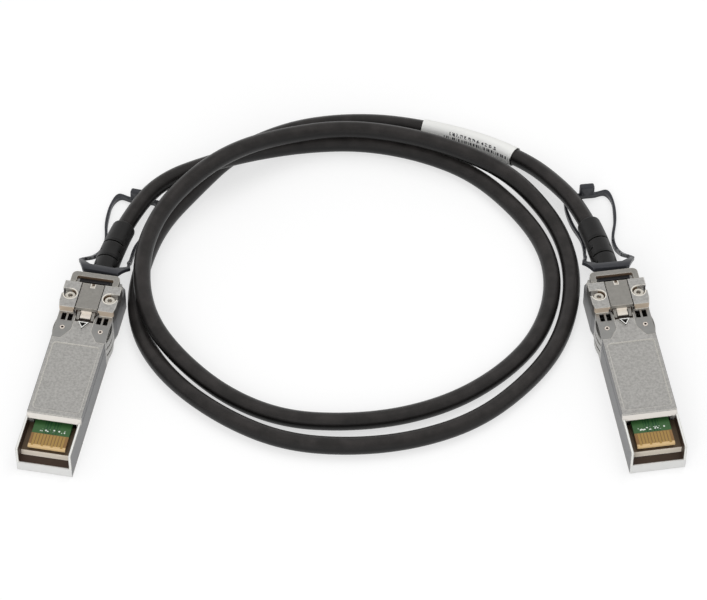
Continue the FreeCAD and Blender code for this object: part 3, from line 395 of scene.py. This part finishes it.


# ---- Castings ----------------------------------------------------------------------------------
# Each plug's tray and lid are zinc castings, blasted to a fine grain and plated with nickel. Two screws
# hold them together. The edges carry painted highlight and wear, the open end carries painted light, and
# the hollows carry painted shade.
CAST_GREY = linear(206, 204, 200)
CAST_DARK = linear(168, 166, 162)
# Painted highlight and wear along the castings' edges.
CAST_EDGE_HIGHLIGHT = linear(246, 243, 234)
CAST_EDGE = 0.3 * MM
PLUG_PLACES = {"left": ((-0.0737, -0.0460, 0.0), radians(-10.6)),
               "right": ((0.0736, -0.0451, 0.0), radians(8.7))}
# Painted shade and painted light: brown shade in the nose's hollows, black shade in slots and gaps, cream
# light on the shelf's and block's front faces, white highlight on rims.
CAVITY_SHADE_BROWN = linear(58, 43, 34)
SHADE_BLACK = linear(18, 15, 13)
SHELF_LIT_CREAM = linear(248, 238, 222)
STEP_LIT_WARM = linear(205, 188, 168)
RIM_HIGHLIGHT_WHITE = linear(250, 250, 246)
# Painted shade in the hollows and on faces turned from the light, and painted light on faces and rims that
# catch it: colour, and the ranges in mm across the plug from its middle plane, along it from the nose and
# up from the table.
# Painted shade on the outer side faces.
SIDE_SHADE_GREY = linear(122, 122, 123)
# Painted areas are made less metallic, so that their painted shade and light show as given.
PAINTED_LIGHT_METALLIC = 0.1
NOSE_PAINTED_LIGHT = [
    # Painted shade on the outer sides.
    (SIDE_SHADE_GREY, (6.62, 7.2), (0.25, 57.0), (0.3, 7.7)),
    # Painted shade on the floor ahead of the shelf and on the inner walls of the nose.
    (CAVITY_SHADE_BROWN, (0.0, 6.3), (0.4, 2.66), (2.5, 3.06)),
    (CAVITY_SHADE_BROWN, (6.1, 6.3), (0.3, 11.4), (3.04, 7.82)),
    # Painted shade on the shelf under the card.
    (linear(100, 84, 66), (0.0, 6.2), (2.78, 11.6), (4.6, 4.8)),
    # Painted light on the shelf's front face and on the nose's front face.
    (SHELF_LIT_CREAM, (0.0, 6.2), (2.6, 2.78), (3.02, 4.72)),
    (linear(236, 236, 234), (0.0, 6.9), (-0.1, 0.22), (-0.1, 3.1)),
    # Painted highlight along the tops of the side walls.
    (RIM_HIGHLIGHT_WHITE, (6.3, 6.7), (-0.1, 10.6), (3.05, 8.2)),
]
LID_PAINTED_LIGHT = [
    # Painted light on the lid's front chamfer.
    (linear(236, 231, 224), (0.0, 6.75), (10.4, 11.4), (7.3, 8.44)),
    # Painted shade on the outer sides, darker beside the block.
    (SIDE_SHADE_GREY, (6.62, 7.2), (11.8, 44.0), (6.4, 10.1)),
    (linear(88, 86, 84), (6.62, 7.2), (44.0, 53.0), (6.4, 10.0)),
    # Painted shade in the slots and in the pocket ahead of the tongue.
    (SHADE_BLACK, (3.0, 5.95), (41.8, 44.2), (7.0, 8.4)),
    (linear(46, 37, 31), (0.0, 2.7), (41.9, 45.5), (7.0, 8.12)),
    # Painted light on the block's front face.
    (STEP_LIT_WARM, (2.9, 6.9), (44.5, 46.7), (8.55, 10.2)),
    # Painted shade in the gap beside the slider and round the latch boss.
    (SHADE_BLACK, (2.70, 2.98), (44.6, 53.3), (9.4, 10.4)),
    (SHADE_BLACK, (0.0, 1.2), (39.6, 41.9), (8.0, 8.46)),
    (SHADE_BLACK, (0.0, 1.6), (39.3, 42.0), (8.52, 8.88)),
    # Painted highlight on the top of the latch boss.
    (RIM_HIGHLIGHT_WHITE, (0.0, 1.6), (39.3, 42.0), (8.88, 9.1)),
]
STAKE_CENTRE = (4.8, 39.4)
SCREW_CENTRE = (5.0, 49.0)
ROUND_PAINTED_LIGHT = [
    # Painted highlight round the stake's rim and painted shade in its hole.
    (linear(250, 238, 226), STAKE_CENTRE, 0.62, (8.55, 8.8)),
    (linear(70, 55, 48), STAKE_CENTRE, 0.33, (8.0, 8.8)),
    # Painted highlight round each counterbore's rim and painted shade on its wall.
    (linear(248, 242, 230), SCREW_CENTRE, 1.85, (10.2, 10.4)),
    (linear(120, 98, 76), SCREW_CENTRE, 1.62, (8.7, 9.9)),
]


def add_edge_highlight_and_wear():
    """Group: a second colour along sharp edges as painted highlight and wear, and the normal of the
    slightly rounded edge.
    """
    group, start, end = shader_group(
        "edge_highlight_and_wear",
        [("Colour", COLOUR, None), ("Highlight And Wear Colour", COLOUR, None), ("Width", NUMBER, 0.0001),
         ("Amount", NUMBER, 1.0)],
        [("Colour", COLOUR), ("Normal", PLACE)])
    nodes, links = group.nodes, group.links
    rounded, surface = nodes.new("ShaderNodeBevel"), nodes.new("ShaderNodeNewGeometry")
    rounded.samples = 4
    links.new(start.outputs["Width"], rounded.inputs["Radius"])
    same = nodes.new("ShaderNodeVectorMath")
    same.operation = "DOT_PRODUCT"
    links.new(rounded.outputs["Normal"], same.inputs[0])
    links.new(surface.outputs["Normal"], same.inputs[1])
    edge = nodes.new("ShaderNodeMapRange")
    edge.inputs["From Min"].default_value = 0.998
    edge.inputs["From Max"].default_value = 0.96
    links.new(same.outputs["Value"], edge.inputs["Value"])
    amount = nodes.new("ShaderNodeMath")
    amount.operation = "MULTIPLY"
    links.new(edge.outputs["Result"], amount.inputs[0])
    links.new(start.outputs["Amount"], amount.inputs[1])
    mix = nodes.new("ShaderNodeMix")
    mix.data_type = "RGBA"
    links.new(amount.outputs[0], mix.inputs["Factor"])
    links.new(start.outputs["Colour"], mix.inputs["A"])
    links.new(start.outputs["Highlight And Wear Colour"], mix.inputs["B"])
    links.new(mix.outputs["Result"], end.inputs["Colour"])
    links.new(rounded.outputs["Normal"], end.inputs["Normal"])
    return group


edge_highlight_and_wear = add_edge_highlight_and_wear()


def highlight_and_wear_edges(tree, finish, highlight_and_wear_colour, width=0.1 * MM, amount=0.8):
    """Puts slightly rounded edges with painted highlight and wear over whatever colour and relief the
    finish already has.
    """
    highlight_and_wear = tree.nodes.new("ShaderNodeGroup")
    highlight_and_wear.node_tree = edge_highlight_and_wear
    highlight_and_wear.inputs["Highlight And Wear Colour"].default_value = highlight_and_wear_colour
    highlight_and_wear.inputs["Width"].default_value = width
    highlight_and_wear.inputs["Amount"].default_value = amount
    base, normal = finish.inputs["Base Color"], finish.inputs["Normal"]
    if base.is_linked:
        tree.links.new(base.links[0].from_socket, highlight_and_wear.inputs["Colour"])
    else:
        highlight_and_wear.inputs["Colour"].default_value = base.default_value
    tree.links.new(highlight_and_wear.outputs["Colour"], base)
    if normal.is_linked:
        bump = normal.links[0].from_node
        tree.links.new(highlight_and_wear.outputs["Normal"], bump.inputs["Normal"])
    else:
        tree.links.new(highlight_and_wear.outputs["Normal"], normal)


def dress(node_name, material):
    """Gives a CAD node its material."""
    piece = plug_nodes[node_name]
    piece.data.materials.clear()
    piece.data.materials.append(material)


def plug_axes(tree, side):
    """Distances from a plug's nose: across it either way, along it, and up from the table."""
    centred = tree.nodes.new("ShaderNodeMapping")
    centred.vector_type = "TEXTURE"
    place, yaw = PLUG_PLACES[side]
    centred.inputs["Location"].default_value = place
    centred.inputs["Rotation"].default_value = (0, 0, yaw)
    tree.links.new(object_coordinates(tree), centred.inputs["Vector"])
    axes = tree.nodes.new("ShaderNodeSeparateXYZ")
    tree.links.new(centred.outputs["Vector"], axes.inputs[0])
    return calculate(tree, "ABSOLUTE", axes.outputs["X"]), axes.outputs["Y"], axes.outputs["Z"]


def within(tree, value, limits):
    """1 where the value lies between two limits in mm."""
    low, high = limits
    return calculate(tree, "COMPARE", value, (low + high) / 2 * MM, (high - low) / 2 * MM)


def paint_over(tree, finish, mask, colour):
    """Paints the colour over what the finish has so far, where the mask is 1."""
    base = finish.inputs["Base Color"]
    tree.links.new(blend(tree, mask, base.links[0].from_socket, colour), base)


def paint_light_and_shade(tree, finish, side, light_ranges, light_discs=()):
    """Paints the listed ranges and discs of painted shade and painted light on a plug's piece, in order;
    they are less metallic.
    """
    axes = plug_axes(tree, side)
    metallic = finish.inputs["Metallic"].default_value
    painted = []
    for colour, *ranges in light_ranges:
        masks = [within(tree, axis, limits) for axis, limits in zip(axes, ranges)]
        aside_and_along = calculate(tree, "MULTIPLY", masks[0], masks[1])
        painted.append(calculate(tree, "MULTIPLY", aside_and_along, masks[2]))
        paint_over(tree, finish, painted[-1], colour)
    for colour, centre, radius, limits in light_discs:
        aside = calculate(tree, "SUBTRACT", axes[0], centre[0] * MM)
        along = calculate(tree, "SUBTRACT", axes[1], centre[1] * MM)
        square = calculate(tree, "MULTIPLY_ADD", along, along, calculate(tree, "MULTIPLY", aside, aside))
        disc = calculate(tree, "LESS_THAN", square, (radius * MM) ** 2)
        painted.append(calculate(tree, "MULTIPLY", disc, within(tree, axes[2], limits)))
        paint_over(tree, finish, painted[-1], colour)
    if metallic and painted:
        covered = painted[0]
        for mask in painted[1:]:
            covered = calculate(tree, "MAXIMUM", covered, mask)
        tree.links.new(steps(tree, covered, 0.0, 1.0, metallic, min(metallic, PAINTED_LIGHT_METALLIC)),
                       finish.inputs["Metallic"])


for side in ("left", "right"):
    for casting, light_ranges, light_discs in (("_top_shell", NOSE_PAINTED_LIGHT, []),
                                          ("_bottom_shell", LID_PAINTED_LIGHT, ROUND_PAINTED_LIGHT)):
        cast_shell, tree, finish = mottled_material(
            side + casting + "_cast", CAST_GREY, CAST_DARK, 0.42, 0.6,
            patches=1600.0, specks=4200.0, amount=0.7, relief=0.6)
        # Painted highlight and wear along the edges, then painted shade and light over hollows, faces and
        # rims.
        highlight_and_wear_edges(tree, finish, CAST_EDGE_HIGHLIGHT, width=CAST_EDGE, amount=1.0)
        paint_light_and_shade(tree, finish, side, light_ranges, light_discs)
        dress(side + casting, cast_shell)


# ---- Cards -------------------------------------------------------------------------------------
# The printed card in each nose: glass cloth laminate with green mask over copper, bare at its
# front edge, where ten gold-plated contacts stand on each face.
CARD_TAN = linear(222, 190, 138)
CARD_GAP = linear(146, 110, 66)
CARD_GREEN = linear(36, 78, 46)
CARD_COPPER_GREEN = linear(60, 100, 56)
CARD_PRINT = linear(228, 234, 226)
PAD_GOLD = linear(226, 188, 118)
MASK_START = 7.2
PADS_START = 3.75
LANE_RATE = 9000.0
PLANE_START = 1.9
LEGEND_ALONG = (7.9, 8.8)
LEGEND_ACROSS = (0.2, 3.4)
DOT_RATE = 1500.0
DOT_SIZE = 0.36

contact_gold = new_material("contact_gold", PAD_GOLD, 0.32, 1.0)[0]
chip_black = new_material("chip_black", linear(34, 34, 36), 0.55)[0]
for side in ("left", "right"):
    card_green, tree, finish = mottled_material(
        side + "_card_green", CARD_GREEN, CARD_COPPER_GREEN, 0.38,
        patches=900.0, specks=2600.0, amount=0.25)
    across, along = plug_axes(tree, side)[:2]
    ripple = calculate(tree, "SINE", calculate(tree, "MULTIPLY", across, LANE_RATE))
    lanes = calculate(tree, "GREATER_THAN", ripple, 0.3)
    planes = calculate(tree, "GREATER_THAN", across, PLANE_START * MM)
    paint_over(tree, finish, calculate(tree, "MAXIMUM", planes, lanes), CARD_COPPER_GREEN)
    dots = tree.nodes.new("ShaderNodeTexVoronoi")
    dots.inputs["Scale"].default_value = DOT_RATE
    tree.links.new(object_coordinates(tree), dots.inputs["Vector"])
    legend_along, legend_across = within(tree, along, LEGEND_ALONG), within(tree, across, LEGEND_ACROSS)
    legend = calculate(tree, "MULTIPLY", legend_along, legend_across)
    printed = calculate(tree, "LESS_THAN", dots.outputs["Distance"], DOT_SIZE)
    paint_over(tree, finish, calculate(tree, "MULTIPLY", legend, printed), CARD_PRINT)
    paint_over(tree, finish, calculate(tree, "LESS_THAN", along, MASK_START * MM), CARD_GAP)
    paint_over(tree, finish, calculate(tree, "LESS_THAN", along, PADS_START * MM), CARD_TAN)
    dress(side + "_paddle_card", card_green)
    dress(side + "_contact_pads", contact_gold)
    dress(side + "_memory_chip", chip_black)


# ---- Wires and crimp ---------------------------------------------------------------------------
# Inside the tail: two foil-wrapped pairs from the card into a plated brass sleeve that is crimped
# over the cord's braid.
pair_foil = new_material("pair_foil", linear(205, 207, 212), 0.3, 0.9)[0]
ferrule_metal = new_material("ferrule_metal", linear(190, 182, 160), 0.35, 0.9)[0]
for side in ("left", "right"):
    dress(side + "_wire_pairs", pair_foil)
    dress(side + "_crimp_ferrule", ferrule_metal)


# ---- Spring collars ----------------------------------------------------------------------------
# A folded sheet of nickel-plated spring steel round each plug, staked to the lid: its bowed
# fingers press on the cage. The sheet is smoother than the castings.
spring_steel, tree, finish = mottled_material(
    "spring_steel", linear(182, 181, 178), linear(160, 159, 155), 0.36, 0.75,
    patches=500.0, specks=8000.0, amount=0.4, relief=0.1)
# Painted highlight and wear along the edges.
highlight_and_wear_edges(tree, finish, linear(240, 236, 228), width=0.1 * MM)
for side in ("left", "right"):
    dress(side + "_spring_collar", spring_steel)


# ---- Housing screws ----------------------------------------------------------------------------
# Two low-head steel screws in each lid, zinc plated; the real ones have six-lobed sockets, here painted as
# a dark round disc of painted shade with a small lighter centre of painted light.
SOCKET_RADIUS = 0.6
for side in ("left", "right"):
    screw_steel, tree, finish = mottled_material(
        side + "_screw_steel", linear(240, 234, 222), linear(206, 200, 188), 0.36, 0.4,
        patches=900.0, specks=4000.0, amount=0.4, relief=0.2)
    # Painted shade for the socket, with painted light at its centre.
    paint_light_and_shade(tree, finish, side, [],
                 [(linear(96, 84, 70), SCREW_CENTRE, SOCKET_RADIUS, (8.9, 9.75)),
                  (linear(200, 186, 166), SCREW_CENTRE, SOCKET_RADIUS / 3, (8.9, 9.75))])
    # Painted highlight and wear along the edges.
    highlight_and_wear_edges(tree, finish, linear(250, 247, 240), width=0.12 * MM)
    dress(side + "_housing_screws", screw_steel)


# ---- Release sliders ---------------------------------------------------------------------------
# The latch release: one small zinc casting with its tongue, tines, return leaf and bail. It is
# smoother and darker than the shells that guide it.
SLIDER_PAINTED_LIGHT = [
    # Painted shade in the gaps beside the plate and on the front face.
    (SHADE_BLACK, (2.64, 2.8), (44.8, 53.2), (9.4, 10.4)),
    (linear(58, 47, 40), (1.35, 2.8), (44.7, 45.0), (8.0, 9.3)),
    # Painted light on the tongue and round the notch.
    (linear(246, 238, 226), (0.0, 1.35), (43.0, 45.0), (8.3, 9.2)),
    (linear(236, 230, 220), (0.0, 0.62), (51.7, 53.2), (9.3, 10.4)),
    # Painted shade on the walls of the bail's slot.
    (linear(104, 86, 70), (0.0, 4.7), (53.3, 55.4), (8.9, 10.2)),
]
for side in ("left", "right"):
    cast_slider, tree, finish = mottled_material(
        side + "_cast_slider", linear(172, 169, 163), linear(150, 147, 141), 0.4, 0.6,
        patches=1500.0, specks=4200.0, amount=0.5, relief=0.25)
    paint_light_and_shade(tree, finish, side, SLIDER_PAINTED_LIGHT)
    # Painted highlight and wear along the edges.
    highlight_and_wear_edges(tree, finish, linear(246, 240, 228), width=0.2 * MM)
    dress(side + "_release_slider", cast_slider)


# ---- Boots -------------------------------------------------------------------------------------
# The strain relief: matt black rubber moulded over the crimp, with rows of grooves so that it
# bends with the cord.
# Painted shade in the grooves: near black on their floors and walls.
GROOVE_SHADE_BLACK = linear(6, 6, 6)
GROOVE_SHADE = [
    (GROOVE_SHADE_BLACK, (2.1, 3.6), (63.45, 64.2), (1.8, 6.7)),
    (GROOVE_SHADE_BLACK, (0.0, 2.9), (66.05, 66.8), (5.6, 8.0)),
    (GROOVE_SHADE_BLACK, (2.1, 3.6), (68.65, 69.4), (1.8, 6.7)),
    (GROOVE_SHADE_BLACK, (0.0, 2.9), (71.25, 72.0), (5.6, 8.0)),
]
for side in ("left", "right"):
    boot_rubber, tree, finish = mottled_material(
        side + "_boot_rubber", linear(22, 21, 21), linear(34, 33, 32), 0.5,
        patches=500.0, specks=5000.0, amount=0.5, relief=0.35)
    paint_light_and_shade(tree, finish, side, GROOVE_SHADE)
    # Painted highlight and wear along the edges of the grooves and ribs.
    highlight_and_wear_edges(tree, finish, linear(62, 61, 60), width=0.25 * MM, amount=0.7)
    dress(side + "_strain_relief", boot_rubber)


# ---- Pull tabs ---------------------------------------------------------------------------------
# The pull: tough grey plastic, moulded in one with its hook, arms and finger loop, satin from
# the mould.
TAB_SLIMMING = 0.11 * MM
MERGE_GAP = 0.01 * MM
HOOK_SHADE = [(linear(20, 20, 22), (0.0, 4.3), (53.0, 57.3), (7.0, 10.3))]
for side in ("left", "right"):
    tab_plastic, tree, finish = mottled_material(
        side + "_tab_plastic", linear(50, 51, 56), linear(64, 65, 70), 0.34,
        patches=500.0, specks=5000.0, amount=0.35, relief=0.15)
    paint_light_and_shade(tree, finish, side, HOOK_SHADE)
    # Painted highlight and wear along the edges.
    highlight_and_wear_edges(tree, finish, linear(104, 105, 112), width=0.2 * MM, amount=0.5)
    bpy.ops.object.select_all(action="DESELECT")
    tab = plug_nodes[side + "_pull_tab"].copy()
    tab.data = tab.data.copy()
    tab.name = side + "_slim_pull_tab"
    scene.collection.objects.link(tab)
    bpy.context.view_layer.objects.active = tab
    tab.select_set(True)
    bpy.ops.object.mode_set(mode="EDIT")
    bpy.ops.mesh.select_all(action="SELECT")
    bpy.ops.mesh.remove_doubles(threshold=MERGE_GAP)
    bpy.ops.object.mode_set(mode="OBJECT")
    slimmer = tab.modifiers.new("slimmer", "DISPLACE")
    slimmer.strength = -TAB_SLIMMING
    slimmer.mid_level = 0.0
    bpy.ops.object.modifier_apply(modifier="slimmer")
    bpy.ops.object.shade_smooth_by_angle(angle=radians(35))
    tab.data.materials.clear()
    tab.data.materials.append(tab_plastic)
    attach(tab, side + "_release")
    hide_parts(side + "_pull_tab")
